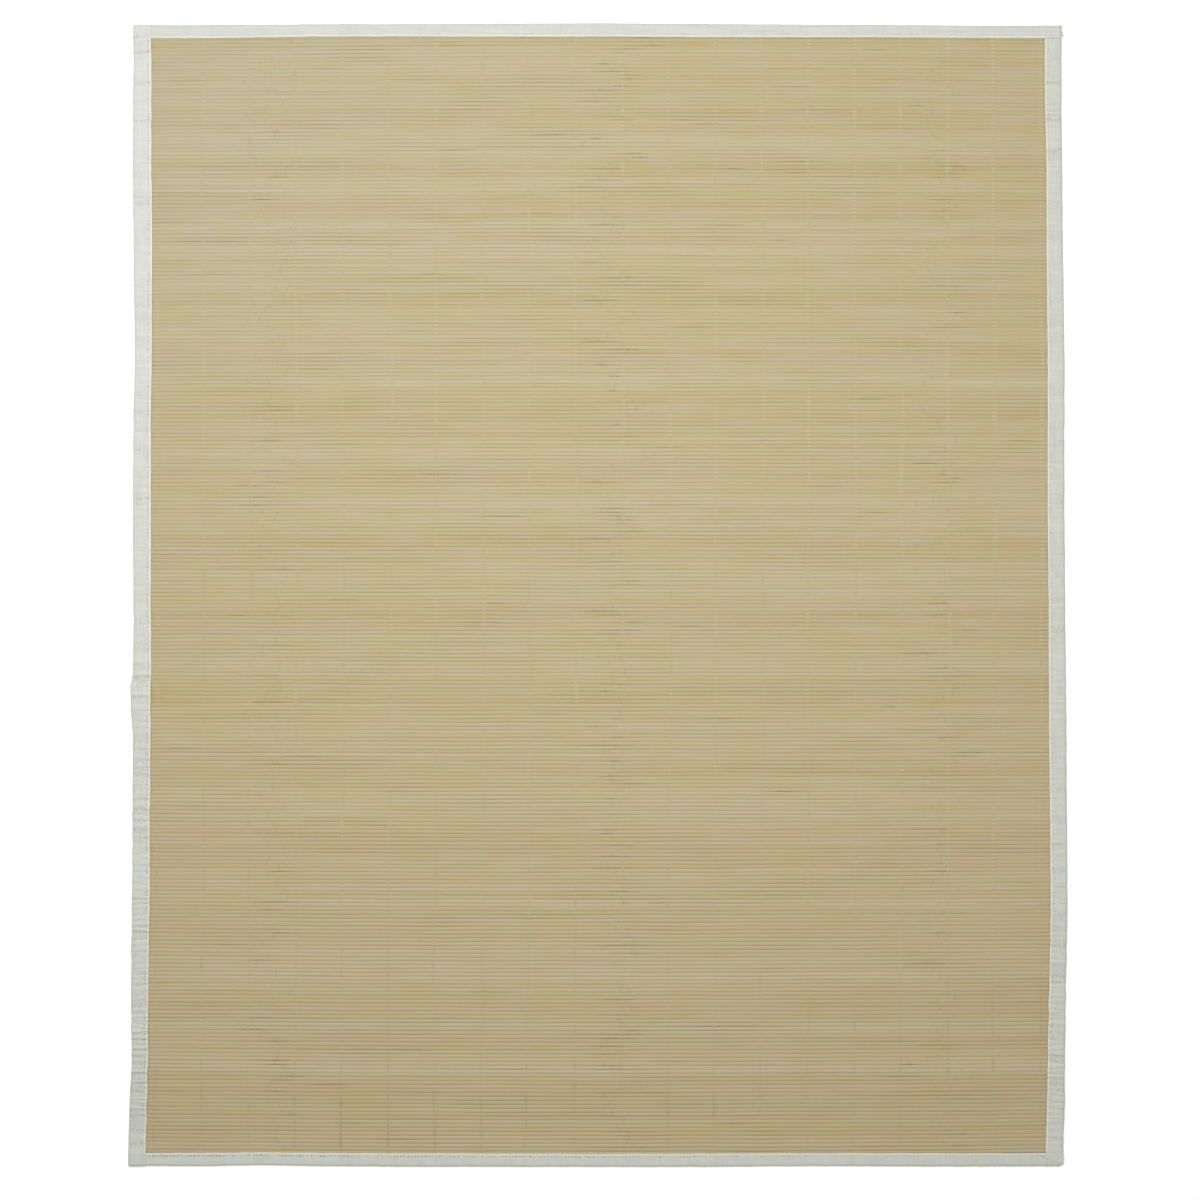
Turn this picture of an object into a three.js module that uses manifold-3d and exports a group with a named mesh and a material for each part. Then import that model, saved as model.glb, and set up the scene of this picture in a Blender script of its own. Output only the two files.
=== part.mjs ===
// Bamboo floor rug, lying flat.
//
// 298 thin bamboo slats lie side by side across the rug and are woven together into one mat.
// Four strips of cloth tape are folded over its edges and sewn down: one along each side, over
// the slats' ends, and one along the far and the near end, over the first and last slats.
// At the corners the right tape lies lowest. The end tapes cover its ends, and the left tape
// covers theirs.
//
// Millimetres. +X runs along the slats to the rug's right side, +Y runs across them to its far
// end and +Z is up. The origin is on the floor, under the middle of the rug.

import * as THREE from 'three';
import { mergeVertices } from 'three/addons/utils/BufferGeometryUtils.js';
import Module from 'manifold-3d';

const wasm = await Module();
wasm.setup();

// How far the uneven outline reaches from the middle, to the sides and to the ends
const REACH_X = 605;
const REACH_Y = 736.5;

// Slats
const SLAT_COUNT = 298;
const SLAT_PITCH = 4.92;
const SLAT_THICKNESS = 2.2;
const SLAT_CROWN = 3.3; // the flat part of a slat's top
const GROOVE_HEIGHT = 1.1; // from a slat's underside to the bottom of the grooves beside it
const MAT_HALF_LENGTH = (SLAT_COUNT * SLAT_PITCH) / 2;
const SLAT_BOW = 3.3; // the first and last slats' middles lie this much further out than their ends

// Tape: canvas with its raw edges turned under, so two layers thick
const TAPE_THICKNESS = 1;
const TAPE_STACK = 5; // from the floor to the top of a tape, folded round the mat
const FOLD_DEPTH = 2.5; // the rounded fold at the tape's outer edge
const FOLD_STEPS = 6;
const UNDER_FLAP_EXTRA = 1.5; // the flap under the rug is this much wider than the one on top
const CLEARANCE = 0.3;
const CORNER_RAMP = 4; // a tape climbs over its neighbour's edge in this length
const CORNER_STACK = TAPE_STACK + TAPE_THICKNESS + CLEARANCE;
const TUCK = 3; // a tape that runs under its neighbour stops this far inside that one's outer face

// The mat rises from the floor to lie on the tapes' lower flaps
const EDGE_LIFT = 1.5;
const SLAT_TOUCHDOWN_X = 300; // a slat touches the floor between its ends' two such points
const LIFT_START_Y = 676;
const LIFT_FULL_Y = 712;
const SLAT_END_INSET = 2.5; // from the tape's outer face to the slats' ends

// Each tape, in sections along its edge. at: place along the edge. inset: how far the outer face
// lies inside the reach. flap: the width of the flap on top.
const LEFT_TAPE = [
  { at: -REACH_Y, inset: 0.0, flap: 21.8 },
  { at: -710, inset: 0.0, flap: 21.8 },
  { at: -661, inset: 1.5, flap: 21.6 },
  { at: -597, inset: 4.6, flap: 20.2 },
  { at: -533, inset: 3.5, flap: 21.1 },
  { at: -405, inset: 4.9, flap: 22.0 },
  { at: -276, inset: 5.5, flap: 21.6 },
  { at: -180, inset: 5.9, flap: 22.2 },
  { at: -148, inset: 3.4, flap: 24.4 },
  { at: -118, inset: 3.0, flap: 24.6 },
  { at: -100, inset: 6.2, flap: 22.6 },
  { at: -18, inset: 6.7, flap: 21.7 },
  { at: 110, inset: 5.9, flap: 22.6 },
  { at: 238, inset: 6.8, flap: 21.6 },
  { at: 302, inset: 9.0, flap: 20.5 },
  { at: 367, inset: 7.8, flap: 21.8 },
  { at: 431, inset: 7.2, flap: 22.9 },
  { at: 560, inset: 5.8, flap: 23.3 },
  { at: 688, inset: 6.7, flap: 22.4 },
  { at: REACH_Y, inset: 6.4, flap: 21.6 },
];
const RIGHT_TAPE = [
  { at: -REACH_Y, inset: 6.3, flap: 22.4 },
  { at: -710, inset: 5.4, flap: 22.6 },
  { at: -661, inset: 3.8, flap: 22.8 },
  { at: -533, inset: 2.6, flap: 21.6 },
  { at: -469, inset: 1.3, flap: 21.5 },
  { at: -405, inset: 0.0, flap: 21.7 },
  { at: -276, inset: 0.9, flap: 21.7 },
  { at: -148, inset: 1.7, flap: 22.3 },
  { at: -18, inset: 3.1, flap: 21.2 },
  { at: 110, inset: 4.2, flap: 21.4 },
  { at: 302, inset: 4.0, flap: 21.5 },
  { at: 431, inset: 5.8, flap: 21.0 },
  { at: 560, inset: 7.0, flap: 20.2 },
  { at: 624, inset: 7.7, flap: 21.0 },
  { at: 688, inset: 7.7, flap: 21.6 },
  { at: REACH_Y, inset: 6.5, flap: 21.4 },
];
const FAR_TAPE = [
  { at: -REACH_X, inset: 2.4, flap: 16.4 },
  { at: -499, inset: 2.4, flap: 16.6 },
  { at: -370, inset: 1.3, flap: 15.8 },
  { at: -242, inset: 1.1, flap: 15.6 },
  { at: -113, inset: 0.4, flap: 16.6 },
  { at: 15, inset: 0.0, flap: 17.0 },
  { at: 144, inset: 1.1, flap: 16.6 },
  { at: 273, inset: 1.6, flap: 16.2 },
  { at: 401, inset: 2.4, flap: 15.6 },
  { at: 530, inset: 3.5, flap: 15.4 },
  { at: REACH_X, inset: 3.0, flap: 15.8 },
];
const NEAR_TAPE = [
  { at: -REACH_X, inset: 2.5, flap: 16.8 },
  { at: -499, inset: 1.0, flap: 17.4 },
  { at: -434, inset: 2.2, flap: 16.8 },
  { at: -370, inset: 1.1, flap: 17.2 },
  { at: -242, inset: 0.1, flap: 17.6 },
  { at: 15, inset: 0.0, flap: 17.2 },
  { at: 144, inset: 0.0, flap: 17.4 },
  { at: 273, inset: 1.0, flap: 17.0 },
  { at: 465, inset: 0.4, flap: 17.4 },
  { at: REACH_X, inset: 0.9, flap: 17.1 },
];

const bamboo = new THREE.MeshStandardMaterial({ color: '#bcaf8a', roughness: 0.6, metalness: 0 });
const canvas = new THREE.MeshStandardMaterial({ color: '#d7d9cf', roughness: 0.9, metalness: 0 });

// A column of a tape's table at a place between its rows
function along(table, column, at) {
  const next = Math.max(1, table.findIndex((row) => row.at >= at));
  const share = (at - table[next - 1].at) / (table[next].at - table[next - 1].at);
  return THREE.MathUtils.lerp(table[next - 1][column], table[next][column], share);
}

// A closed solid through a row of matching closed sections. endFaces are the triangles of its flat
// ends, as places in a section, turning the same way as the section.
function loft(sections, endFaces) {
  const count = sections[0].length;
  const triangles = [];
  for (let s = 0; s + 1 < sections.length; s++) {
    for (let i = 0; i < count; i++) {
      const a = s * count + i;
      const b = s * count + ((i + 1) % count);
      triangles.push([a, b, b + count], [a, b + count, a + count]);
    }
  }
  const lastSection = (sections.length - 1) * count;
  for (const face of endFaces) triangles.push(face.map((i) => i + lastSection), [...face].reverse());
  const positions = sections.flat().flatMap((point) => [point.x, point.y, point.z]);
  const geometry = new THREE.BufferGeometry();
  geometry.setAttribute('position', new THREE.Float32BufferAttribute(positions, 3));
  geometry.setIndex(triangles.flat());
  return facingOut(geometry);
}

// Turns every face round if the solid is inside out
function facingOut(geometry) {
  const index = geometry.index.array;
  const corner = (i) => new THREE.Vector3().fromBufferAttribute(geometry.attributes.position, index[i]);
  let volume = 0;
  for (let i = 0; i < index.length; i += 3) volume += corner(i).dot(corner(i + 1).cross(corner(i + 2)));
  if (volume < 0) index.reverse();
  return geometry;
}

function toSolid(geometry) {
  return new wasm.Manifold(new wasm.Mesh({
    numProp: 3,
    vertProperties: new Float32Array(geometry.attributes.position.array),
    triVerts: new Uint32Array(geometry.index.array),
  }));
}

function toGeometry(solid) {
  const mesh = solid.getMesh();
  const geometry = new THREE.BufferGeometry();
  geometry.setAttribute('position', new THREE.BufferAttribute(mesh.vertProperties, 3));
  geometry.setIndex(new THREE.BufferAttribute(mesh.triVerts, 1));
  return geometry;
}

// A box between two corners, as a solid to cut with
function block(low, high) {
  const size = new THREE.Vector3().subVectors(high, low);
  const middle = new THREE.Vector3().addVectors(low, high).divideScalar(2);
  const box = new THREE.BoxGeometry(size.x, size.y, size.z).translate(middle.x, middle.y, middle.z);
  box.deleteAttribute('normal');
  box.deleteAttribute('uv');
  return toSolid(mergeVertices(box));
}

// The slat mat: one extrusion along the slats, in which each slat is a flat ridge with a groove
// on either side. It touches the floor in the middle and rises to the tapes at its edges.

const slatEdge = (slat) => slat * SLAT_PITCH - MAT_HALF_LENGTH;
const leftEnd = (y) => -REACH_X + along(LEFT_TAPE, 'inset', y) + SLAT_END_INSET;
const rightEnd = (y) => REACH_X - along(RIGHT_TAPE, 'inset', y) - SLAT_END_INSET;

function matLift(y, slatShare) {
  const rowShare = THREE.MathUtils.smoothstep(Math.abs(y), LIFT_START_Y, LIFT_FULL_Y);
  return EDGE_LIFT * Math.max(slatShare, rowShare);
}

// The mat's outline across the slats: {y, z}, with z counted from the slats' underside. First the
// underside, with a point between every two slats, then the grooved top, the other way.
function matOutline() {
  const outline = [];
  for (let slat = SLAT_COUNT; slat >= 0; slat--) outline.push({ y: slatEdge(slat), z: 0 });
  for (let slat = 0; slat < SLAT_COUNT; slat++) {
    const middle = slatEdge(slat + 0.5);
    outline.push({ y: slatEdge(slat), z: GROOVE_HEIGHT });
    outline.push({ y: middle - SLAT_CROWN / 2, z: SLAT_THICKNESS });
    outline.push({ y: middle + SLAT_CROWN / 2, z: SLAT_THICKNESS });
  }
  outline.push({ y: slatEdge(SLAT_COUNT), z: GROOVE_HEIGHT });
  return outline;
}

// The triangles of one slat's end after another, as places in the outline
function slatEndFaces() {
  const faces = [];
  for (let slat = 0; slat < SLAT_COUNT; slat++) {
    const groove = SLAT_COUNT + 1 + 3 * slat;
    const slatEnd = [groove, groove + 1, groove + 2, groove + 3, SLAT_COUNT - slat - 1, SLAT_COUNT - slat];
    for (let i = 1; i + 1 < slatEnd.length; i++) faces.push([slatEnd[0], slatEnd[i], slatEnd[i + 1]]);
  }
  return faces;
}

function slatMat() {
  const stations = [
    { x: leftEnd, slatShare: 1 },
    { x: () => -SLAT_TOUCHDOWN_X, slatShare: 0 },
    { x: () => SLAT_TOUCHDOWN_X, slatShare: 0 },
    { x: rightEnd, slatShare: 1 },
  ];
  const outline = matOutline();
  const sections = stations.map(({ x, slatShare }) => outline.map(({ y, z }) => {
    const bowed = y * (1 - (SLAT_BOW / MAT_HALF_LENGTH) * (x(y) / REACH_X) ** 2);
    return new THREE.Vector3(x(y), bowed, z + matLift(y, slatShare));
  }));
  return loft(sections, slatEndFaces());
}

// A tape's section, folded round the edge: {depth, z}, with depth counted inwards from the outer face
function tapeSection(flap, stack) {
  const section = [];
  const fold = (radius, halfHeight, i) => {
    const turn = -Math.PI / 2 + (Math.PI * i) / FOLD_STEPS;
    return { depth: FOLD_DEPTH - radius * Math.cos(turn), z: stack / 2 + halfHeight * Math.sin(turn) };
  };
  for (let i = 0; i <= FOLD_STEPS; i++) section.push(fold(FOLD_DEPTH, stack / 2, i));
  section.push({ depth: flap, z: stack }, { depth: flap, z: stack - TAPE_THICKNESS });
  for (let i = FOLD_STEPS; i >= 0; i--) {
    section.push(fold(FOLD_DEPTH - TAPE_THICKNESS, stack / 2 - TAPE_THICKNESS, i));
  }
  const underEdge = flap + UNDER_FLAP_EXTRA;
  section.push({ depth: underEdge, z: TAPE_THICKNESS }, { depth: underEdge, z: 0 });
  return section;
}

// The triangles of a tape's flat ends
function tapeEndFaces(flap, stack) {
  const outline = tapeSection(flap, stack).map(({ depth, z }) => new THREE.Vector2(depth, z));
  const faces = THREE.ShapeUtils.triangulateShape(outline, []);
  const faceArea = THREE.ShapeUtils.area(faces[0].map((i) => outline[i]));
  const sameTurn = faceArea * THREE.ShapeUtils.area(outline) > 0;
  return sameTurn ? faces : faces.map((face) => face.reverse());
}

// The four tapes. runs: the axis that a tape runs along. side: which side of the rug it edges.
// reach: how far out its table's insets are counted from.
const LEFT = { table: LEFT_TAPE, runs: 'y', side: -1, reach: REACH_X };
const RIGHT = { table: RIGHT_TAPE, runs: 'y', side: 1, reach: REACH_X };
const FAR = { table: FAR_TAPE, runs: 'x', side: 1, reach: REACH_Y };
const NEAR = { table: NEAR_TAPE, runs: 'x', side: -1, reach: REACH_Y };

// How far along a tape its neighbour's outer face and the inner edge of its upper flap lie
function corner(own, neighbour, end) {
  const ownEnd = (column) => along(own.table, column, end * neighbour.reach);
  const at = own.side * (own.reach - ownEnd('inset') - ownEnd('flap'));
  const outer = neighbour.reach - along(neighbour.table, 'inset', at);
  return { outer, inner: outer - along(neighbour.table, 'flap', at) };
}

// A tape with its two ends, each {neighbour, end, over}. Where it runs over its neighbour, its upper
// flap climbs. Where it runs under, it stops inside the neighbour's fold, and its lower flap is
// trimmed away where the neighbour's takes its place, so that the corner lies flat.
function tape(own, ends) {
  const { table, runs, side, reach } = own;
  const toPoint = (at, across, z) => (
    runs === 'x' ? new THREE.Vector3(at, across, z) : new THREE.Vector3(across, at, z)
  );
  const stations = table.slice(1, -1).map((row) => ({ at: row.at, stack: TAPE_STACK }));
  const cuts = [];
  for (const { neighbour, end, over } of ends) {
    const { outer, inner } = corner(own, neighbour, end);
    if (over) {
      const climbed = inner - 2 * CLEARANCE;
      stations.push({ at: end * (climbed - CORNER_RAMP), stack: TAPE_STACK });
      stations.push({ at: end * climbed, stack: CORNER_STACK });
      stations.push({ at: end * outer, stack: CORNER_STACK });
    } else {
      stations.push({ at: end * (outer - TUCK), stack: TAPE_STACK });
      const trimFrom = inner - UNDER_FLAP_EXTRA - 2 * CLEARANCE;
      const ats = [end * trimFrom, end * (neighbour.reach + CLEARANCE)].sort((a, b) => a - b);
      cuts.push(block(
        toPoint(ats[0], -reach - CLEARANCE, -CLEARANCE),
        toPoint(ats[1], reach + CLEARANCE, TAPE_THICKNESS + CLEARANCE),
      ));
    }
  }
  stations.sort((a, b) => a.at - b.at);
  const sections = stations.map(({ at, stack }) => {
    const outer = reach - along(table, 'inset', at);
    return tapeSection(along(table, 'flap', at), stack)
      .map(({ depth, z }) => toPoint(at, side * (outer - depth), z));
  });
  const whole = toSolid(loft(sections, tapeEndFaces(table[0].flap, stations[0].stack)));
  return toGeometry(cuts.reduce((solid, cut) => solid.subtract(cut), whole));
}

const rug = new THREE.Group();

function addPiece(name, geometry, material) {
  geometry.computeVertexNormals();
  const piece = new THREE.Mesh(geometry, material);
  piece.name = name;
  rug.add(piece);
}

addPiece('slat_mat', slatMat(), bamboo);
addPiece('side_tape_left', tape(LEFT, [
  { neighbour: NEAR, end: -1, over: true },
  { neighbour: FAR, end: 1, over: true },
]), canvas);
addPiece('side_tape_right', tape(RIGHT, [
  { neighbour: NEAR, end: -1, over: false },
  { neighbour: FAR, end: 1, over: false },
]), canvas);
for (const [name, own] of [['end_tape_far', FAR], ['end_tape_near', NEAR]]) {
  addPiece(name, tape(own, [
    { neighbour: LEFT, end: -1, over: false },
    { neighbour: RIGHT, end: 1, over: true },
  ]), canvas);
}

export default rug;
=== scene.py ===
"""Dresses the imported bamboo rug: separate slats, weaving thread, folded tapes and their seams.

Metres, in the part's own frame: +X along the slats, +Y to the far end, +Z up.
"""

import bmesh
import bpy
import numpy as np
from mathutils import Euler, Matrix, Vector


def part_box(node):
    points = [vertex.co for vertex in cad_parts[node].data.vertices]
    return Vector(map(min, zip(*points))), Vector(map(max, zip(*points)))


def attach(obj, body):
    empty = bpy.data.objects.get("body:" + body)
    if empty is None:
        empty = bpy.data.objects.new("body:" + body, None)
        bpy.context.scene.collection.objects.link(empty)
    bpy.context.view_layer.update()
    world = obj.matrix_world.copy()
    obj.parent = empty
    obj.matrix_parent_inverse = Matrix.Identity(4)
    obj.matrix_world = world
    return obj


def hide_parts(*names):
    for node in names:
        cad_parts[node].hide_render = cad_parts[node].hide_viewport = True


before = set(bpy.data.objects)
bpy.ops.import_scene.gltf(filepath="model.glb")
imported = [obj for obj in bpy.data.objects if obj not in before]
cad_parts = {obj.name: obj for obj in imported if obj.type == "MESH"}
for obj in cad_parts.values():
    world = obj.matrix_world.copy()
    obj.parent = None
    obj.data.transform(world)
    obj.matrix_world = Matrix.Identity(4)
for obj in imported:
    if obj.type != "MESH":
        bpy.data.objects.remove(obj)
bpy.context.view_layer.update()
scene = bpy.context.scene
scene.view_settings.view_transform = "Standard"


# Camera
# It hangs straight above the rug and takes in the photograph's square frame. The rug lies a
# little left of the frame's middle and above it.
PIXEL = 0.0012895  # what one of the frame's 1200 pixels covers on the floor
FRAME_PIXELS = 1200
RUG_MIDDLE_PIXEL = (597.8, 594.8)
CAMERA_HEIGHT = 4.0

camera_data = bpy.data.cameras.new("camera")
camera_data.sensor_width = 36
camera_data.lens = camera_data.sensor_width * CAMERA_HEIGHT / (FRAME_PIXELS * PIXEL)
camera = bpy.data.objects.new("camera", camera_data)
camera.location = (
    (FRAME_PIXELS / 2 - RUG_MIDDLE_PIXEL[0]) * PIXEL,
    (RUG_MIDDLE_PIXEL[1] - FRAME_PIXELS / 2) * PIXEL,
    CAMERA_HEIGHT,
)
scene.collection.objects.link(camera)
scene.camera = camera


# Light
# A broad soft lamp hangs high over the rug's far half, a little to the left, under an even white
# sky. The far end is a little brighter than the near one, and each slat has a bright shoulder.
SKY_STRENGTH = 0.50
LAMP_POWER = 57.5
LAMP_SIZE = 1.2
LAMP_PLACE = Vector((-0.2, 0.5, 2.5))
LAMP_AIM = Vector((0, 0.4, 0))

world = bpy.data.worlds.new("studio")
world.use_nodes = True
world.node_tree.nodes["Background"].inputs["Color"].default_value = (1, 1, 1, 1)
world.node_tree.nodes["Background"].inputs["Strength"].default_value = SKY_STRENGTH
scene.world = world

lamp_data = bpy.data.lights.new("lamp", "AREA")
lamp_data.energy = LAMP_POWER
lamp_data.size = LAMP_SIZE
lamp = bpy.data.objects.new("lamp", lamp_data)
lamp.location = LAMP_PLACE
lamp.rotation_euler = (LAMP_AIM - LAMP_PLACE).to_track_quat("-Z", "Y").to_euler()
lamp.visible_camera = False
scene.collection.objects.link(lamp)


# Floor
# A plain white studio floor that the rug lies flat on. It is far larger than the view, so that
# no edge of it shows from any side.
FLOOR_SIZE = 40
FLOOR_WHITE = (0.99, 0.99, 0.99, 1)
FLOOR_GLOW = 0.02  # keeps its corners as white as its middle


def linear(red, green, blue):
    """A colour given in display values from 0 to 255, as the shader's linear values."""
    display = np.array((red, green, blue)) / 255
    return (*np.where(display < 0.04045, display / 12.92, ((display + 0.055) / 1.055) ** 2.4), 1)


def place_node(material_tree, kind, *values, **settings):
    """A shader node. values feed its sockets in order: None leaves one alone, a socket links."""
    made = material_tree.nodes.new(kind)
    for name, setting in settings.items():
        setattr(made, name, setting)
    for socket, value in zip(made.inputs, values):
        if isinstance(value, bpy.types.NodeSocket):
            material_tree.links.new(value, socket)
        elif value is not None:
            socket.default_value = value
    return made


def new_material(name, roughness, specular):
    """A material with the Principled shader's plain sockets set."""
    material = bpy.data.materials.new(name)
    material.use_nodes = True
    shader = material.node_tree.nodes["Principled BSDF"]
    shader.inputs["Roughness"].default_value = roughness
    shader.inputs["Specular IOR Level"].default_value = specular
    return material, material.node_tree, shader


def mesh_of(shape, name):
    """The mesh of a finished bmesh."""
    mesh = bpy.data.meshes.new(name)
    shape.to_mesh(mesh)
    shape.free()
    return mesh


def new_piece(name, mesh, material=None):
    """An object at the origin that shows a mesh."""
    piece = bpy.data.objects.new(name, mesh)
    scene.collection.objects.link(piece)
    if material:
        mesh.materials.clear()
        mesh.materials.append(material)
    return piece


floor_white, _, floor_shader = new_material("floor_white", roughness=0.9, specular=0.2)
floor_shader.inputs["Base Color"].default_value = FLOOR_WHITE
floor_shader.inputs["Emission Color"].default_value = (1, 1, 1, 1)
floor_shader.inputs["Emission Strength"].default_value = FLOOR_GLOW
floor_sheet = bmesh.new()
bmesh.ops.create_grid(floor_sheet, x_segments=1, y_segments=1, size=FLOOR_SIZE / 2)
new_piece("floor", mesh_of(floor_sheet, "floor"), floor_white)


# Slats
# Each is one strip of split bamboo, planed flat underneath and rounded on top. They lie side by
# side across the rug, a little finer at its far end, and their joints swell where the cane had
# a node, which pushes the neighbours apart and leaves short dark slits.
SLAT_COUNT = 298
SLAT_PITCH_FAR = 0.00481
SLAT_PITCH_NEAR = 0.00502
SLAT_PITCH_MEAN = (SLAT_PITCH_FAR + SLAT_PITCH_NEAR) / 2
SLAT_WIDTH = 0.00487
SLAT_THICKNESS = 0.0020
SLAT_SHOULDER = 0.0019  # how much of a slat's top is rounded off along each side
SHOULDER_DROP = 0.00047  # and how far down
SLAT_STATIONS = 60
HALF_WIDTH = 0.605
SLAT_END_X = HALF_WIDTH - 0.0025  # the slats end inside the tapes' folds
STRETCH_X = 0.56  # from here out a slat is stretched or drawn in, to end at its own tape's edge
BOW = 0.0033  # how far the slats' ends are drawn to the rug's middle at its far and near ends
THREAD_THICKNESS = 0.00045  # the weaving thread under a slat holds it this far off the floor
EDGE_LIFT = 0.00155  # at the edges the slats lie on the tapes' lower flaps
TOUCHDOWN_X = 0.3  # between these places left and right the slats lie down
LIFT_START_Y = 0.676  # the last slats at each end climb between these places
LIFT_FULL_Y = 0.712
NODE_PLACES = (-0.422, 0.022, 0.446)  # along the slats
NODE_SCATTER = 0.014
NODE_RING = 0.004  # from a node's crest to its foot, along the slat
NODE_SHIFT_REACH = 0.09  # how far along the slat its points move with a node
NODE_SLIT_WIDTH = 0.00045
SLIT_COUNT = 90
TAPE_SOLIDS = {  # the axis that each runs along, and its side of the rug
    "side_tape_left": (1, -1),
    "side_tape_right": (1, 1),
    "end_tape_far": (0, 1),
    "end_tape_near": (0, -1),
}
TOP_FLAP_FROM_Z = 0.0035
BOTH_FLAPS_HEIGHT = 0.0045  # a section of a tape's solid that is lower lacks one of its flaps
rng = np.random.default_rng(7)

far_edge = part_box("slat_mat")[1].y
slat_edge_numbers = np.arange(SLAT_COUNT + 1)
slat_edges = (
    far_edge
    - SLAT_PITCH_FAR * slat_edge_numbers
    - (SLAT_PITCH_NEAR - SLAT_PITCH_FAR) * slat_edge_numbers**2 / (2 * SLAT_COUNT)
)
slat_middles = (slat_edges[1:] + slat_edges[:-1]) / 2


def mesh_points(mesh):
    """A mesh's points, one row each."""
    points = np.empty(len(mesh.vertices) * 3)
    mesh.vertices.foreach_get("co", points)
    return points.reshape(-1, 3)


def tape_outline(name, along, side):
    """A tape's outer face and the inner edges of its flaps, at each full section of its solid."""
    points = mesh_points(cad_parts[name].data)
    rows = []
    for place in np.unique(points[:, along].round(4)):
        section = points[np.abs(points[:, along] - place) < 0.0001]
        depths = side * section[:, 1 - along]
        on_top = section[:, 2] > TOP_FLAP_FROM_Z
        if np.ptp(section[:, 2]) > BOTH_FLAPS_HEIGHT and on_top.any():
            rows.append((place, depths.max(), depths[on_top].min(), depths[~on_top].min()))
    return np.array(rows)


outlines = {name: tape_outline(name, *placing) for name, placing in TAPE_SOLIDS.items()}


def outline_at(tape_solid, place):
    """How far from the rug's middle a tape's outer face and its flaps' inner edges lie."""
    at, *edges = outlines[tape_solid].T
    return [np.interp(place, at, edge) for edge in edges]


def smooth_noise(rows, columns, across=0, along=0, spread=1.0):
    """A table of random values of one spread, averaged so often across and along its rows."""
    noise = rng.normal(size=(rows, columns))
    for axis, rounds in ((0, across), (1, along)):
        for _ in range(rounds):
            noise = (np.roll(noise, 1, axis) + 2 * noise + np.roll(noise, -1, axis)) / 4
    return noise / noise.std() * spread


def read_rows(table, places, low=-HALF_WIDTH, high=HALF_WIDTH):
    """A table's values at a row of places for each row. Its columns run from low to high."""
    knots = np.linspace(low, high, table.shape[1])
    return np.array([np.interp(at, knots, row) for at, row in zip(places, table)])


def eased(share):
    """A share held between 0 and 1, with a soft start and end."""
    share = np.clip(share, 0, 1)
    return share**2 * (3 - 2 * share)


def lift(x, y):
    """How far the slats' undersides lie above the floor."""
    over_side = np.clip((np.abs(x) - TOUCHDOWN_X) / (HALF_WIDTH - TOUCHDOWN_X), 0, 1)
    over_end = eased((np.abs(y) - LIFT_START_Y) / (LIFT_FULL_Y - LIFT_START_Y))
    return THREAD_THICKNESS + (EDGE_LIFT - THREAD_THICKNESS) * np.maximum(over_side, over_end)


def repeated(blank, name, count, step=None):
    """One mesh of count copies of a blank, all in one place, or a step apart and welded."""
    piece = new_piece(name, mesh_of(blank, name))
    copies = piece.modifiers.new("copies", "ARRAY")
    copies.count = count
    copies.use_relative_offset = False
    if step:
        copies.use_constant_offset = True
        copies.constant_offset_displace = step
        copies.use_merge_vertices = True
        copies.merge_threshold = 0.01
    whole = bpy.data.meshes.new_from_object(
        piece.evaluated_get(bpy.context.evaluated_depsgraph_get())
    )
    bpy.data.objects.remove(piece)
    whole.name = name
    return whole


def cut_across(blank, places, direction):
    """Cuts a blank right across at places along a direction."""
    for place in places:
        bmesh.ops.bisect_plane(
            blank,
            geom=blank.verts[:] + blank.edges[:] + blank.faces[:],
            plane_co=Vector(direction) * place,
            plane_no=direction,
        )


def add_values(mesh, name, values):
    """Gives each point of a mesh a value that its material reads."""
    attribute = mesh.attributes.new(name, "FLOAT", "POINT")
    attribute.data.foreach_set("value", np.asarray(values).ravel().astype(np.float32))


def move_points(mesh, x, y, z):
    """Puts a mesh's points at their places on the rug."""
    mesh.vertices.foreach_set("co", np.stack([x, y, z], axis=-1).ravel())


def slat_blank():
    """A straight slat with its middle at the origin, cut into short lengths."""
    blank = bmesh.new()
    bmesh.ops.create_cube(blank, size=1)
    size = (2 * SLAT_END_X, SLAT_WIDTH, SLAT_THICKNESS)
    bmesh.ops.scale(blank, vec=size, verts=blank.verts)
    top_edges = [
        edge
        for edge in blank.edges
        if edge.calc_length() > SLAT_END_X and edge.verts[0].co.z > 0
    ]
    bmesh.ops.bevel(
        blank,
        geom=top_edges,
        offset=SLAT_SHOULDER,
        segments=2,
        profile=0.5,
        affect="EDGES",
        material=-1,
        clamp_overlap=True,
    )
    crown = [point for point in blank.verts if point.co.z > -0.49 * SLAT_THICKNESS]
    bmesh.ops.scale(
        blank,
        vec=(1, 1, SHOULDER_DROP / SLAT_SHOULDER),
        space=Matrix.Translation((0, 0, -SLAT_THICKNESS / 2)),
        verts=crown,
    )
    stations = list(np.linspace(-SLAT_END_X, SLAT_END_X, SLAT_STATIONS)[1:-1])
    for node in NODE_PLACES:
        stations = [x for x in stations if abs(x - node) > 1.5 * NODE_RING]
        stations += [node - NODE_RING, node, node + NODE_RING]
    cut_across(blank, stations, (1, 0, 0))
    return blank


drift = smooth_noise(SLAT_COUNT, 60, across=12, along=3, spread=0.00022)
own_drift = smooth_noise(SLAT_COUNT, 60, along=2, spread=0.000025)
width_change = smooth_noise(SLAT_COUNT, 30, along=1, spread=0.00003)
height_change = smooth_noise(SLAT_COUNT, 30, along=2, spread=0.00009)
shoulder_change = smooth_noise(SLAT_COUNT, 30, along=2, spread=0.00007)
shoulder_change += np.linspace(-0.00012, 0.00010, SLAT_COUNT)[:, None]
roll = smooth_noise(SLAT_COUNT, 20, along=3, spread=0.026)
node_shift = smooth_noise(SLAT_COUNT, 3, across=2) + smooth_noise(SLAT_COUNT, 3, spread=0.5)
node_shift *= NODE_SCATTER
node_height = rng.uniform(0.05, 0.40, (SLAT_COUNT, 3)) * 0.001
node_sets_apart = rng.random((SLAT_COUNT, 3)) < (0.08, 0.30, 0.10)
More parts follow.
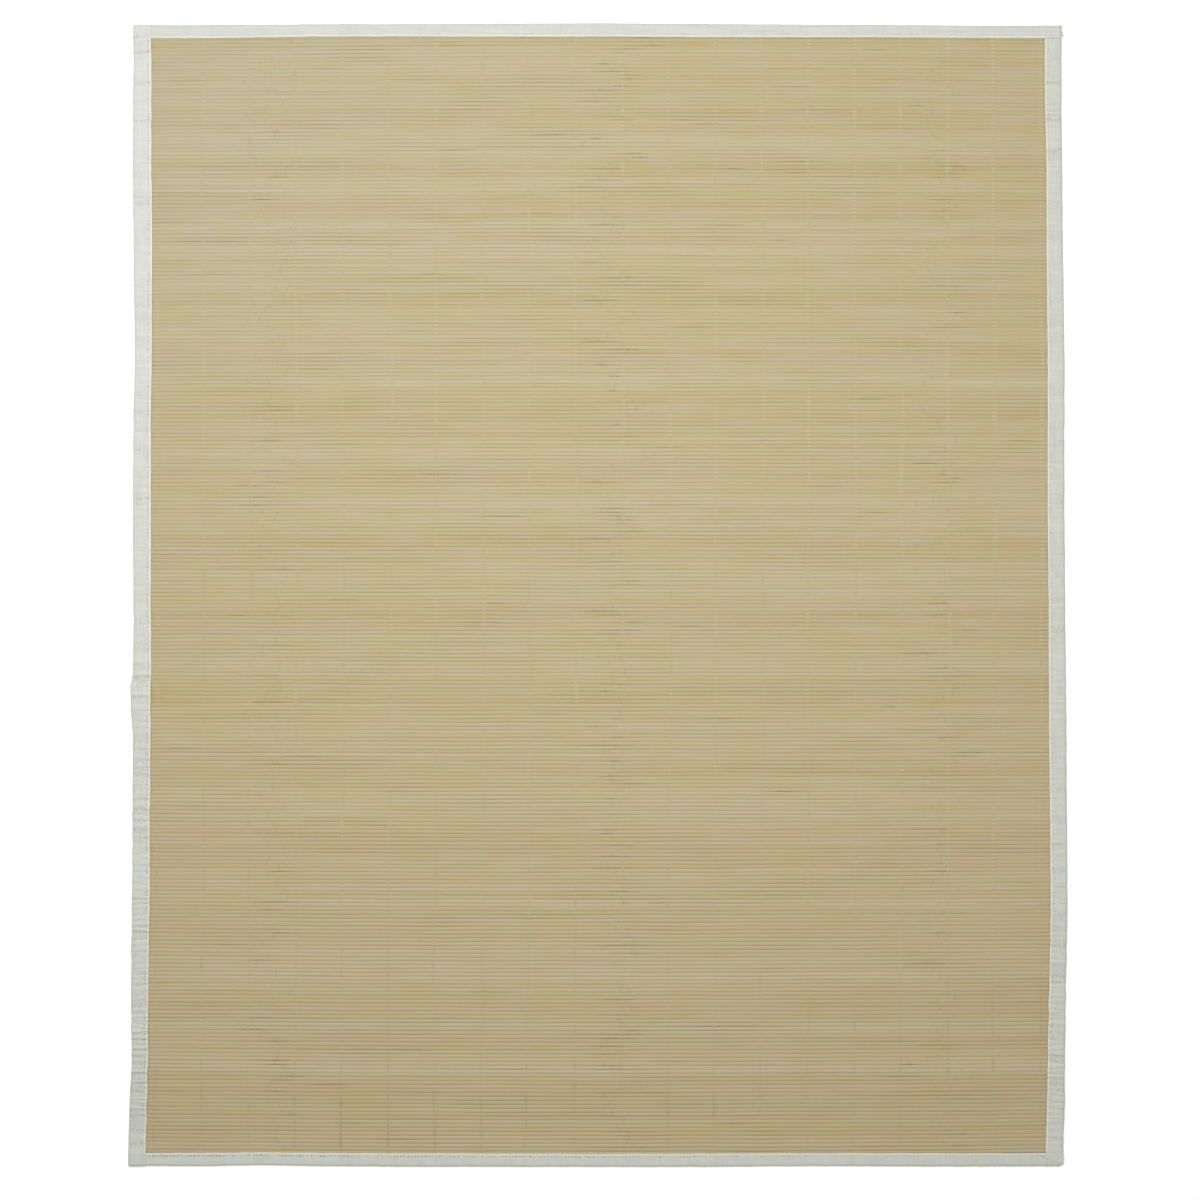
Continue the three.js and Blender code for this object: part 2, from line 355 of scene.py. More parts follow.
node_slit_length = rng.uniform(0.004, 0.022, (SLAT_COUNT, 3))
slit_slats = rng.integers(0, SLAT_COUNT, SLIT_COUNT)
slit_places = rng.uniform(-0.56, 0.56, SLIT_COUNT)
slit_half_lengths = rng.uniform(0.010, 0.032, SLIT_COUNT)
slit_widths = rng.uniform(0.00025, 0.00065, SLIT_COUNT)


def slit_width(slats, x):
    """How much a slat's near edge stands back from the next slat."""
    width = np.zeros_like(x)
    for slat, place, half_length, wide in zip(
        slit_slats, slit_places, slit_half_lengths, slit_widths
    ):
        if slats[0] <= slat <= slats[-1]:
            row = slat - slats[0]
            share = np.clip(1 - np.abs(x[row] - place) / half_length, 0, 1)
            width[row] += wide * np.minimum(1, 2 * share)
    for i, node in enumerate(NODE_PLACES):
        place = (node + node_shift[slats, i])[:, None]
        reach = node_slit_length[slats, i][:, None]
        share = np.clip(1 - np.abs(x - place) / (NODE_RING + reach), 0, 1)
        width += node_sets_apart[slats, i][:, None] * NODE_SLIT_WIDTH * np.minimum(1, 2 * share)
    return width


def move_to_nodes(slats, x):
    """Shifts the stations beside each node along with that slat's own node."""
    moved = x.copy()
    for i, node in enumerate(NODE_PLACES):
        moved += node_shift[slats, i][:, None] * eased(1 - np.abs(x - node) / NODE_SHIFT_REACH)
    return moved


def slat_row(name, slats):
    """The slats of one stretch of the rug, as one mesh with each slat's colour values."""
    mesh = repeated(slat_blank(), name, len(slats))
    points = mesh_points(mesh).reshape(len(slats), -1, 3)
    x, across, height = points[:, :, 0], points[:, :, 1], points[:, :, 2]
    x = move_to_nodes(slats, x)
    middle = slat_middles[slats][:, None]
    left_end = outline_at("side_tape_left", middle)[0]
    right_end = outline_at("side_tape_right", middle)[0]
    end_share = np.clip((np.abs(x) - STRETCH_X) / (SLAT_END_X - STRETCH_X), 0, 1)
    end_change = np.where(x < 0, HALF_WIDTH - left_end, right_end - HALF_WIDTH)
    own_nodes = np.array(NODE_PLACES) + node_shift[slats]
    from_node = np.abs(x[:, :, None] - own_nodes[:, None, :]).min(axis=2)
    swelling = np.clip(1 - from_node / (1.6 * NODE_RING), 0, 1)
    nearest = np.abs(x[:, :, None] - np.array(NODE_PLACES)).argmin(axis=2)
    swelling *= np.take_along_axis(node_height[slats], nearest, axis=1)
    bowed = middle * (1 - BOW / far_edge * (x / HALF_WIDTH) ** 2)
    shift = read_rows(drift[slats] + own_drift[slats], x)
    own_pitch = (slat_edges[slats] - slat_edges[slats + 1])[:, None]
    wide = own_pitch / SLAT_PITCH_MEAN + read_rows(width_change[slats], x) / SLAT_WIDTH
    near_edge_share = 0.5 - across / SLAT_WIDTH
    share_up = height / SLAT_THICKNESS + 0.5
    y = bowed + shift + across * wide + slit_width(slats, x) * near_edge_share * share_up
    z = lift(x, y) + height + SLAT_THICKNESS / 2
    z += share_up * (read_rows(height_change[slats], x) + swelling)
    on_shoulder = np.clip((SLAT_THICKNESS / 2 - height) / SHOULDER_DROP, 0, 1) * (share_up > 0)
    z -= on_shoulder * read_rows(shoulder_change[slats], x)
    z += read_rows(roll[slats], x) * across * share_up
    move_points(mesh, x + end_change * end_share, y, z)
    add_values(mesh, "tone", read_rows(slat_tone[slats], x))
    add_values(mesh, "hue", read_rows(slat_hue[slats], x))
    add_values(mesh, "richness", read_rows(slat_richness[slats], x))
    add_values(mesh, "node_distance", from_node)
    add_values(mesh, "grain_seed", np.repeat(rng.random(len(slats)), x.shape[1]))
    mesh.shade_smooth()
    mesh.set_sharp_from_angle(angle=np.radians(50))
    return new_piece(name, mesh, bamboo)


# Bamboo
# The strips come from different canes, so each has its own shade, from greenish through straw
# to a pinkish tan, and it changes at the nodes. The whole rug shades in soft bands across the
# slats, with fine fibre streaks along them.
BANDS = (  # where each lies from the far end to the near one, its tone and its hue
    (0.736, -0.3, 0.9), (0.722, -0.4, 0.9), (0.706, 0.1, 0.0), (0.640, 0.0, -0.1),
    (0.612, -0.7, 0.2), (0.586, 0.8, -0.5), (0.563, 0.6, -0.3), (0.554, -0.7, 0.3),
    (0.528, 0.6, -0.3), (0.497, -1.0, 0.4), (0.474, 0.8, 0.0), (0.457, -0.3, 0.0),
    (0.441, 0.5, -0.2), (0.416, 0.4, -0.5), (0.380, -0.5, 0.0), (0.363, 0.6, -0.4),
    (0.350, -0.4, 0.0), (0.334, 0.3, 0.0), (0.312, -0.7, 0.2), (0.276, 1.0, -0.5),
    (0.248, -0.2, 0.4), (0.220, -0.7, 0.3), (0.202, 0.4, 0.1), (0.174, 0.4, 0.1),
    (0.156, -0.8, 0.3), (0.124, 0.7, -0.2), (0.090, 0.4, -0.1), (0.063, -0.9, 0.4),
    (0.045, 0.1, 0.0), (0.020, 0.8, -0.3), (-0.004, 0.7, 0.0), (-0.026, -1.1, 0.7),
    (-0.050, -0.1, 0.1), (-0.074, 0.6, -0.4), (-0.098, 0.6, -0.2), (-0.125, -1.0, 0.2),
    (-0.163, 0.5, 0.0), (-0.192, 0.5, -0.1), (-0.230, -0.7, 0.1), (-0.266, 0.9, -0.3),
    (-0.283, 0.6, 0.0), (-0.305, -0.4, 0.6), (-0.336, -0.8, 0.8), (-0.387, 0.6, -0.2),
    (-0.430, -0.6, 0.1), (-0.472, 1.1, -0.4), (-0.502, 0.4, 0.0), (-0.529, -1.1, 0.3),
    (-0.557, 0.7, -0.8), (-0.576, -0.6, 0.4), (-0.608, 1.2, -0.2), (-0.636, -0.5, 0.1),
    (-0.736, -0.1, 0.1),
)
STREAKS = ((-1.6, 90), (1.3, 60))  # the hue and the number of greenish and of ochre ones
MOST_HUE = 1.7
FIRST_IN_VIEW = 3  # this slat, beside the far tape, is olive, and the next one is ochre
OCHRE_SLAT = 4
SHADE_COLUMNS = 240
SLAT_GROUPS = 4

band_places, band_tones, band_hues = np.array(BANDS).T
shade_columns = np.linspace(-HALF_WIDTH, HALF_WIDTH, SHADE_COLUMNS)


def band(values):
    """A band value for every slat, as a column."""
    return np.interp(-slat_middles, -band_places, values)[:, None]


def segment_shades(spread):
    """A shade for each length of slat between nodes, one row a slat."""
    shades = rng.normal(size=(SLAT_COUNT, 1)) * spread
    shades = shades + rng.normal(size=(SLAT_COUNT, len(NODE_PLACES) + 1)) * spread * 0.8
    slat_nodes = np.array(NODE_PLACES) + node_shift
    return np.array(
        [row[np.searchsorted(nodes, shade_columns)] for nodes, row in zip(slat_nodes, shades)]
    )


slat_tone = band(band_tones) + segment_shades(0.35)
own_richness = smooth_noise(SLAT_COUNT, 1, spread=0.026) + smooth_noise(
    SLAT_COUNT, SHADE_COLUMNS, across=1, along=14, spread=0.042
)
own_richness *= np.interp(-slat_middles, [-0.1, 0.6], [1.0, 0.65])[:, None]
slat_richness = own_richness - 0.055 * slat_tone
slat_hue = 0.8 * band(band_hues) + segment_shades(0.18) - 3.0 * own_richness
slat_hue += smooth_noise(SLAT_COUNT, SHADE_COLUMNS, along=10, spread=0.34)
for streak_hue, streak_count in STREAKS:
    for slat in rng.integers(0, SLAT_COUNT, streak_count):
        from_streak = np.abs(shade_columns - rng.uniform(-0.6, 0.6))
        slat_hue[slat] += streak_hue * (from_streak < rng.uniform(0.010, 0.045))
slat_hue = np.clip(slat_hue, -MOST_HUE, MOST_HUE)
slat_hue[FIRST_IN_VIEW] = -0.8
slat_hue[OCHRE_SLAT] = 1.0 + 22.0 * own_richness[OCHRE_SLAT]
slat_richness[FIRST_IN_VIEW] += 0.10
slat_richness[OCHRE_SLAT] += 0.05


def point_values(tree, *names):
    """The values that the points of a mesh carry under these names."""
    return [
        place_node(tree, "ShaderNodeAttribute", attribute_name=name).outputs["Fac"]
        for name in names
    ]


def maths(operation, *values):
    """The result of one Math node, beside the nodes that feed it."""
    tree = next(value.id_data for value in values if isinstance(value, bpy.types.NodeSocket))
    return place_node(tree, "ShaderNodeMath", *values, operation=operation).outputs[0]


def ranged(value, low, high, to_low, to_high):
    """A value brought from one range to another and held inside it."""
    return place_node(value.id_data, "ShaderNodeMapRange", value, low, high, to_low, to_high).outputs[0]


def stretched(place, scale, start=None):
    """Places scaled along each axis, so that a pattern read there is drawn out or in."""
    return place_node(
        place.id_data, "ShaderNodeMapping", place, start, None, scale, vector_type="POINT"
    ).outputs[0]


def blotches(place, scale, detail, roughness):
    """Soft random blotches."""
    return place_node(
        place.id_data, "ShaderNodeTexNoise", place, None, scale, detail, roughness
    ).outputs["Fac"]


def colour_ramp(place, *stops):
    """The colour at a place between stops, each a position and a display colour."""
    ramp = place_node(place.id_data, "ShaderNodeValToRGB", place)
    while len(ramp.color_ramp.elements) < len(stops):
        ramp.color_ramp.elements.new(0.5)
    for element, (position, colour) in zip(ramp.color_ramp.elements, stops):
        element.position = position
        element.color = linear(*colour)
    return ramp.outputs["Color"]


def add_colour(shader, hue, saturation, brightness, colour=None):
    """Gives a shader a colour, shifted in these ways. The node that shifts it is returned."""
    tree = shader.id_data
    shifted = place_node(
        tree, "ShaderNodeHueSaturation", hue, saturation, brightness, 1.0, colour
    )
    tree.links.new(shifted.outputs["Color"], shader.inputs["Base Color"])
    return shifted


def add_relief(shader, height, strength, distance):
    """Lets a pattern raise a shader's surface a little."""
    tree = shader.id_data
    relief = place_node(tree, "ShaderNodeBump", strength, distance)
    tree.links.new(height, relief.inputs["Height"])
    tree.links.new(relief.outputs["Normal"], shader.inputs["Normal"])


bamboo, bamboo_tree, bamboo_shader = new_material("bamboo", roughness=0.50, specular=0.50)
tone, hue, from_node, seed, richness = point_values(
    bamboo_tree, "tone", "hue", "node_distance", "grain_seed", "richness"
)
on_rug = place_node(bamboo_tree, "ShaderNodeTexCoord").outputs["Object"]
slat_x, slat_y, _ = place_node(bamboo_tree, "ShaderNodeSeparateXYZ", on_rug).outputs

# Some joints are greener than the cane between them, and the slats are redder beside the tapes
green_joint = ranged(from_node, 0.003, 0.020, -0.12, 0.0)
green_joint = maths("MULTIPLY", green_joint, maths("GREATER_THAN", seed, 0.5))
hue_place = maths("ADD", ranged(hue, -2.5, 2.5, 0.0, 1.0), green_joint)
hue_place = maths("ADD", hue_place, ranged(slat_x, -0.582, -0.550, 0.24, 0.0))
hue_place = maths("ADD", hue_place, ranged(slat_x, 0.571, 0.577, 0.0, 0.12))
# From olive yellow through green, straw and pinkish tan to ochre
shade = colour_ramp(
    hue_place,
    (0.00, (160, 154, 96)),
    (0.18, (163, 156, 117)),
    (0.50, (167, 154, 115)),
    (0.82, (170, 153, 120)),
    (1.00, (168, 149, 102)),
)
own_start = place_node(bamboo_tree, "ShaderNodeCombineXYZ", maths("MULTIPLY", seed, 90)).outputs[0]
fibres = blotches(stretched(on_rug, (14, 2600, 1), own_start), 1.0, 3.0, 0.6)
patches = blotches(stretched(on_rug, (5, 160, 1)), 1.0, 2.0, 0.5)
node_ring = ranged(from_node, 0.0004, 0.0022, 0.93, 1.0)
# Painted sheen: towards the far left the slats are painted greyer and a little less red, as the lamp's
# reflection there would make them look
painted_sheen = maths("MULTIPLY", ranged(slat_x, 0.1, -0.5, 0.0, 1.0), ranged(slat_y, 0.1, 0.6, 0.0, 1.0))
to_right = ranged(slat_x, -0.2, 0.5, 0.0, 1.0)
brightness = maths("MULTIPLY_ADD", tone, 0.030, 0.91)
brightness = maths("MULTIPLY_ADD", fibres, 0.10, brightness)
brightness = maths("MULTIPLY_ADD", patches, 0.08, brightness)
brightness = maths("MULTIPLY", brightness, node_ring)
brightness = maths("MULTIPLY_ADD", to_right, 0.022, brightness)
saturation = maths("MULTIPLY_ADD", painted_sheen, -0.14, maths("ADD", richness, 1.01))
redder = maths("MULTIPLY_ADD", to_right, 0.0022, ranged(slat_y, 0.1, -0.5, 0.0, 0.0048))
redder = maths("MULTIPLY_ADD", painted_sheen, -0.0022, redder)
add_colour(bamboo_shader, maths("SUBTRACT", 0.5, redder), saturation, brightness, shade)
bamboo_tree.links.new(ranged(fibres, 0.3, 0.7, 0.50, 0.68), bamboo_shader.inputs["Roughness"])
add_relief(bamboo_shader, fibres, 0.5, 0.00006)

for group, slats in enumerate(np.array_split(np.arange(SLAT_COUNT), SLAT_GROUPS)):
    slat_piece = slat_row(f"slats_{group + 1}", slats)
    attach(slat_piece, "root")
    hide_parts("slat_mat")


# Weaving thread
# Rows of cream cotton run from end to end, 60 mm apart. Each is a pair of soft flat strands that
# twist round every slat in turn: where one passes over a slat the other passes under it.
THREAD_ROWS = 20
THREAD_PITCH = 0.060
STRAND_WIDTH = 0.0086
STRAND_WIDTH_IN_GROOVE = 0.8  # as a share of its width on a slat
STRAND_FLATNESS = 1.35  # above 1 it lies flat across the middle of a slat
STRAND_BEDDING = 0.9  # below 1 it beds into the slat that it crosses
# Painted shade: the strand is coloured darker where it dips between two slats
STRAND_DIP_PAINTED_SHADE = 0.45  # how much darker it looks where it dips between two slats
STRAND_TWIST = 0.0004  # how far a strand leans to either side as it crosses a slat
STRAND_STEPS = (0.22, 0.78, 1.0, 1.22, 1.78)  # in slats: over one, down, under the next, up
STRAND_SIDES = 3
# How the rows change from the far end to the near one: how far they lie to the right, how wide a
# strand is as a share of its full width, and how pale the rows at the left and right sides are
STRAND_LOOKS = [
    {"y": 0.736, "shift": 0.0005, "width": 0.80, "left": -0.135, "right": -0.060},
    {"y": 0.370, "shift": 0.0014, "width": 0.80, "left": -0.115, "right": -0.110},
    {"y": 0.310, "shift": 0.0026, "width": 0.90, "left": -0.100, "right": -0.095},
    {"y": 0.230, "shift": 0.0028, "width": 0.90, "left": -0.125, "right": -0.060},
    {"y": 0.165, "shift": 0.0028, "width": 0.90, "left": -0.15, "right": -0.07},
    {"y": 0.120, "shift": 0.0026, "width": 0.80, "left": -0.165, "right": -0.065},
    {"y": 0.000, "shift": 0.0024, "width": 0.75, "left": -0.20, "right": -0.16},
    {"y": -0.130, "shift": 0.0024, "width": 0.70, "left": -0.20, "right": -0.13},
    {"y": -0.340, "shift": 0.0014, "width": 0.65, "left": -0.25, "right": -0.17},
    {"y": -0.430, "shift": 0.0006, "width": 0.60, "left": -0.28, "right": -0.19},
    {"y": -0.480, "shift": 0.0, "width": 0.50, "left": -0.28, "right": -0.20},
    {"y": -0.530, "shift": 0.0, "width": 0.55, "left": -0.26, "right": -0.36},
    {"y": -0.580, "shift": -0.0004, "width": 0.50, "left": -0.19, "right": -0.28},
    {"y": -0.640, "shift": -0.0008, "width": 0.55, "left": -0.40, "right": -0.30},
    {"y": -0.700, "shift": -0.0008, "width": 0.55, "left": -0.40, "right": -0.26},
    {"y": -0.736, "shift": -0.0008, "width": 0.50, "left": -0.24, "right": -0.20},
]
# At the near end painted shade lies unevenly on the rows: how much paler a row is there than its
# neighbours
NEAR_END_ROW_SHADE = {
    1: 0.04, 2: 0.03, 4: -0.12, 5: -0.08, 6: -0.07, 7: -0.03, 8: -0.04, 10: 0.07,
    11: -0.06, 12: -0.10, 13: -0.02, 15: -0.03, 16: -0.02, 17: 0.02, 18: 0.02,
}
NEAR_END_SHADE_FROM_Y = -0.640

yarn = bpy.data.node_groups.new("twisted_yarn", "ShaderNodeTree")
yarn.interface.new_socket("Place", in_out="INPUT", socket_type="NodeSocketVector")
yarn.interface.new_socket("Scale", in_out="INPUT", socket_type="NodeSocketFloat")
yarn.interface.new_socket("Plies", in_out="OUTPUT", socket_type="NodeSocketFloat")


def side_by_side(place, scale, waver, way):
    """Threads that lie side by side, as ridges from 0 to 1."""
    return place_node(
        place.id_data,
        "ShaderNodeTexWave",
        place,
        scale,
        waver,
        2.0,
        wave_type="BANDS",
        bands_direction=way,
    ).outputs["Fac"]


yarn_place, yarn_scale, _ = yarn.nodes.new("NodeGroupInput").outputs
place_node(yarn, "NodeGroupOutput", side_by_side(yarn_place, yarn_scale, 1.5, "DIAGONAL"))


def thread_material(name, scale):
    """Soft thread with its plies' twist in relief. Its colour goes into the socket returned."""
    material, tree, shader = new_material(name, roughness=0.85, specular=0.2)
    twist = tree.nodes.new("ShaderNodeGroup")
    twist.node_tree = yarn
    tree.links.new(place_node(tree, "ShaderNodeTexCoord").outputs["Object"], twist.inputs["Place"])
    twist.inputs["Scale"].default_value = scale
    brightness = maths("MULTIPLY_ADD", twist.outputs["Plies"], 0.12, 0.94)
    add_relief(shader, twist.outputs["Plies"], 0.4, 0.0001)
    return material, add_colour(shader, 0.5, 1.0, brightness).inputs["Color"]


cotton, cotton_colour = thread_material("cream_cotton", 900)
(pale,) = point_values(cotton_colour.id_data, "pale")
cotton_shade = colour_ramp(
    ranged(pale, -1, 1, 0, 1), (0.0, (138, 126, 90)), (0.5, (184, 173, 139)), (1.0, (215, 204, 179))
)
cotton_colour.id_data.links.new(cotton_shade, cotton_colour)

strand_wander = smooth_noise(THREAD_ROWS, 40, along=2, spread=0.0010)
strand_fading = smooth_noise(THREAD_ROWS, 50, along=1, spread=0.02)
strand_patches = smooth_noise(THREAD_ROWS, SLAT_COUNT, spread=0.03)
row_places = (np.arange(THREAD_ROWS) - (THREAD_ROWS - 1) / 2)[:, None] * THREAD_PITCH
row_painted_shade = np.array([[NEAR_END_ROW_SHADE.get(row, 0.0)] for row in range(THREAD_ROWS)])


def strand_blank():
    """A flat strand two slats long, on its way over one and under the next."""
    blank = bmesh.new()
    bmesh.ops.create_circle(blank, cap_ends=True, segments=STRAND_SIDES, radius=1)
    bmesh.ops.rotate(blank, matrix=Euler((np.pi / 2, 0, 0)).to_matrix(), verts=blank.verts)
    grown = bmesh.ops.extrude_face_region(blank, geom=blank.faces[:])
    far_points = [part for part in grown["geom"] if isinstance(part, bmesh.types.BMVert)]
    bmesh.ops.translate(blank, vec=(0, 2, 0), verts=far_points)
    cut_across(blank, STRAND_STEPS, (0, 1, 0))
    end_caps = [face for face in blank.faces if abs(face.normal.y) > 0.5]
    bmesh.ops.delete(blank, geom=end_caps, context="FACES_ONLY")
    return blank


def strand_look(name, y):
    """A strand's value at places along the rug."""
    return np.interp(-y, [-row["y"] for row in STRAND_LOOKS], [row[name] for row in STRAND_LOOKS])


def strand_rows(name, first_slat):
    """One strand of every thread row. It passes over every other slat, from the first one on."""
    strand = bmesh.new()
    strand.from_mesh(repeated(strand_blank(), name, (SLAT_COUNT - 2) // 2, step=(0, 2, 0)))
    bmesh.ops.holes_fill(strand, edges=strand.edges, sides=STRAND_SIDES)
    bmesh.ops.recalc_face_normals(strand, faces=strand.faces)
    mesh = repeated(strand, name, THREAD_ROWS)
    points = mesh_points(mesh).reshape(THREAD_ROWS, -1, 3)
    side, phase, rise = points[:, :, 0], points[:, :, 1], points[:, :, 2]
    slat_place = first_slat + phase
    y = np.interp(slat_place, slat_edge_numbers, slat_edges)
    over = np.clip(STRAND_FLATNESS * np.cos(np.pi * (phase - 0.5)), -1, 1)
    width = STRAND_WIDTH * strand_look("width", y)
    width *= STRAND_WIDTH_IN_GROOVE + (1 - STRAND_WIDTH_IN_GROOVE) * np.abs(over)
    lean = STRAND_TWIST * np.sin(np.pi * (phase - 0.5))
    x = row_places + strand_look("shift", y) + read_rows(strand_wander, slat_place, 0, SLAT_COUNT)
    x += lean + side * width / 2
    right_share = row_places / (2 * HALF_WIDTH) + 0.5
    paleness = strand_look("left", y) * (1 - right_share) + strand_look("right", y) * right_share
    paleness += read_rows(strand_fading, slat_place, 0, SLAT_COUNT)
    # painted shade on the rows at the near end
    paleness += row_painted_shade * np.clip((NEAR_END_SHADE_FROM_Y - y) / 0.005, 0, 1)
    paleness += read_rows(strand_patches, slat_place, 0, SLAT_COUNT)
    # painted shade where the strand dips into the groove between two slats
    paleness -= STRAND_DIP_PAINTED_SHADE * (1 - np.abs(over))
    y *= 1 - BOW / far_edge * (row_places / HALF_WIDTH) ** 2
    reach = (SLAT_THICKNESS + STRAND_BEDDING * THREAD_THICKNESS) / 2
    z = lift(x, y) + SLAT_THICKNESS / 2 + over * reach + rise * THREAD_THICKNESS / 2
    move_points(mesh, x, y, z)
    add_values(mesh, "pale", paleness)
    mesh.shade_smooth()
    mesh.set_sharp_from_angle(angle=np.radians(80))
    return new_piece(name, mesh, cotton)


for strand_name, first_slat in (("strands_odd", 0), ("strands_even", 1)):
    strands = strand_rows(strand_name, first_slat)
    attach(strands, "root")
    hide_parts("slat_mat")


# Tapes
# Each is a strip of pale canvas with its raw edges turned under, folded over the rug's edge.
# The seam that holds it draws it into cross creases. The right tape goes on first, then the end
# tapes, which lap over it at the right corners, and last the left tape, which laps over them.
CLOTH_THICKNESS = 0.0010
TOP_FLAP_Z = 0.00470  # to the middle of the cloth
GATHER_HEIGHT = 0.00060
UNDER_FLAP_Z = CLOTH_THICKNESS / 2 + 0.00005
FOLD_DEPTH = 0.0022
FOLD_STEPS = 6
FOLD_STEP_LENGTH = 0.0012
FLAP_MIDDLE = 0.010  # from its inner edge
SEAM_FROM_EDGE = 0.0040
SEAM_DIP = 0.0003
SEAM_DIP_REACH = 0.0012
SEAM_PULL_REACH = 0.007  # the gathers are lower farther from the seam than this
ROLLED_EDGE = 0.00015
ROLLED_EDGE_WIDTH = 0.0008
CORNER_LIFT = 0.0012
CORNER_RAMP = 0.004
CORNER_GAP = 0.0006
CLIPPED_CORNER = 0.0036  # how much of the near right corner is folded away
TRIMMED_FLAP = 0.0003  # what is left of a lower flap that makes room for its neighbour's
SLOW_WAVES = 0.00010
CREASE_WIDTH = 0.0016
CREASE_DEPTH = 0.0012  # of a crease of strength 1
CREASE_PULL = 0.4  # how far it draws the tape's edge in, as a share of its depth
DEEPEST_CREASE = 0.0006  # below this the cloth would press into the slats
GATHERS = 240
NOISE_REACH = 0.74  # a tape's random values cover it this far each way from its middle
# The cuts along a flap: how far from its inner edge, then the share of what is left to the fold
TOP_CUTS = [
    (0, 0), (0.0008, 0), (0.0026, 0), (0.0040, 0), (0.0054, 0), (0.0072, 0), (0.0072, 0.33),
    (0.0072, 0.66),
]
UNDER_CUTS = [(0, 0), (0.0040, 0), (0.0040, 0.5)]
